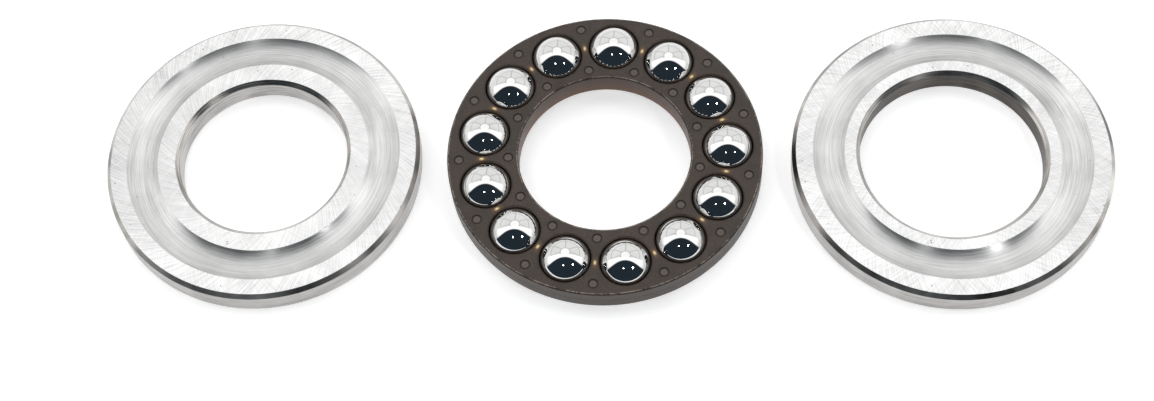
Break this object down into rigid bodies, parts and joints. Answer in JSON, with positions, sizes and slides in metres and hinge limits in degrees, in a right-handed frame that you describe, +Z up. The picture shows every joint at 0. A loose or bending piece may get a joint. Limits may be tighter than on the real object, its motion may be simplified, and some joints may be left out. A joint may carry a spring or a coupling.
{
  "type": "thrust ball bearing",
  "caption": "Single-direction thrust ball bearing taken apart in a row: shaft washer, moulded cage with its balls, housing washer; raceways up.",
  "frame": {"origin": "on the supporting surface under the cage's axis, the middle of the laid-out row, at the bottom of the balls and the washers' backs", "axes": "+X along the row from the shaft washer to the housing washer, +Z up out of the raceways, +Y towards the back of the row"},
  "size_m": [0.1488, 0.0472, 0.0079],
  "materials": {
    "shaft_washer_steel": "ground lands and honed raceway",
    "housing_washer_steel": "cross-ground lands and honed raceway",
    "ball_steel": "mirror polished",
    "cage_nylon": "fine moulded grain"
  },
  "bodies": {
    "housing_washer": {"housing_washer": "housing_washer_steel"},
    "shaft_washer": {"shaft_washer": "shaft_washer_steel"},
    "cage": {"cage": "cage_nylon"},
    "ball_01": {"ball_01": "ball_steel"},
    "ball_02": {"ball_02": "ball_steel"},
    "ball_03": {"ball_03": "ball_steel"},
    "ball_04": {"ball_04": "ball_steel"},
    "ball_05": {"ball_05": "ball_steel"},
    "ball_06": {"ball_06": "ball_steel"},
    "ball_07": {"ball_07": "ball_steel"},
    "ball_08": {"ball_08": "ball_steel"},
    "ball_09": {"ball_09": "ball_steel"},
    "ball_10": {"ball_10": "ball_steel"},
    "ball_11": {"ball_11": "ball_steel"},
    "ball_12": {"ball_12": "ball_steel"},
    "ball_13": {"ball_13": "ball_steel"}
  },
  "joints": [
    {"name": "shaft_washer_spin", "type": "hinge", "parent": "housing_washer", "child": "shaft_washer", "pos_m": [-0.0509, 0.0005, 0], "axis": [0, 0, -1], "continuous": true},
    {"name": "cage_spin", "type": "hinge", "parent": "housing_washer", "child": "cage", "pos_m": [0, 0, 0], "axis": [0, 0, 1], "continuous": true},
    {"name": "ball_01_roll", "type": "hinge", "parent": "cage", "child": "ball_01", "pos_m": [0.00111, 0.01807, 0.00397], "axis": [0.061, 0.9981, 0], "continuous": true},
    {"name": "ball_02_roll", "type": "hinge", "parent": "cage", "child": "ball_02", "pos_m": [0.00937, 0.01548, 0.00397], "axis": [0.5179, 0.8554, 0], "continuous": true},
    {"name": "ball_03_roll", "type": "hinge", "parent": "cage", "child": "ball_03", "pos_m": [0.0155, 0.00935, 0.00397], "axis": [0.8561, 0.5168, 0], "continuous": true},
    {"name": "ball_04_roll", "type": "hinge", "parent": "cage", "child": "ball_04", "pos_m": [0.01807, 0.00108, 0.00397], "axis": [0.9982, 0.0597, 0], "continuous": true},
    {"name": "ball_05_roll", "type": "hinge", "parent": "cage", "child": "ball_05", "pos_m": [0.0165, -0.00744, 0.00397], "axis": [0.9116, -0.411, 0], "continuous": true},
    {"name": "ball_06_roll", "type": "hinge", "parent": "cage", "child": "ball_06", "pos_m": [0.01115, -0.01426, 0.00397], "axis": [0.6162, -0.7876, 0], "continuous": true},
    {"name": "ball_07_roll", "type": "hinge", "parent": "cage", "child": "ball_07", "pos_m": [0.00325, -0.01781, 0.00397], "axis": [0.1796, -0.9837, 0], "continuous": true},
    {"name": "ball_08_roll", "type": "hinge", "parent": "cage", "child": "ball_08", "pos_m": [-0.0054, -0.01728, 0.00397], "axis": [-0.2981, -0.9545, 0], "continuous": true},
    {"name": "ball_09_roll", "type": "hinge", "parent": "cage", "child": "ball_09", "pos_m": [-0.01281, -0.01279, 0.00397], "axis": [-0.7076, -0.7066, 0], "continuous": true},
    {"name": "ball_10_roll", "type": "hinge", "parent": "cage", "child": "ball_10", "pos_m": [-0.01728, -0.00537, 0.00397], "axis": [-0.9549, -0.2969, 0], "continuous": true},
    {"name": "ball_11_roll", "type": "hinge", "parent": "cage", "child": "ball_11", "pos_m": [-0.0178, 0.00327, 0.00397], "axis": [-0.9835, 0.1809, 0], "continuous": true},
    {"name": "ball_12_roll", "type": "hinge", "parent": "cage", "child": "ball_12", "pos_m": [-0.01424, 0.01117, 0.00397], "axis": [-0.7868, 0.6172, 0], "continuous": true},
    {"name": "ball_13_roll", "type": "hinge", "parent": "cage", "child": "ball_13", "pos_m": [-0.00742, 0.01651, 0.00397], "axis": [-0.4098, 0.9122, 0], "continuous": true}
  ],
  "couplings": [
    {"joint": "cage_spin", "follows": "shaft_washer_spin", "ratio": 0.5},
    {"joint": "ball_01_roll", "follows": "shaft_washer_spin", "ratio": -2.2802},
    {"joint": "ball_02_roll", "follows": "shaft_washer_spin", "ratio": -2.2802},
    {"joint": "ball_03_roll", "follows": "shaft_washer_spin", "ratio": -2.2802},
    {"joint": "ball_04_roll", "follows": "shaft_washer_spin", "ratio": -2.2802},
    {"joint": "ball_05_roll", "follows": "shaft_washer_spin", "ratio": -2.2802},
    {"joint": "ball_06_roll", "follows": "shaft_washer_spin", "ratio": -2.2802},
    {"joint": "ball_07_roll", "follows": "shaft_washer_spin", "ratio": -2.2802},
    {"joint": "ball_08_roll", "follows": "shaft_washer_spin", "ratio": -2.2802},
    {"joint": "ball_09_roll", "follows": "shaft_washer_spin", "ratio": -2.2802},
    {"joint": "ball_10_roll", "follows": "shaft_washer_spin", "ratio": -2.2802},
    {"joint": "ball_11_roll", "follows": "shaft_washer_spin", "ratio": -2.2802},
    {"joint": "ball_12_roll", "follows": "shaft_washer_spin", "ratio": -2.2802},
    {"joint": "ball_13_roll", "follows": "shaft_washer_spin", "ratio": -2.2802}
  ]
}
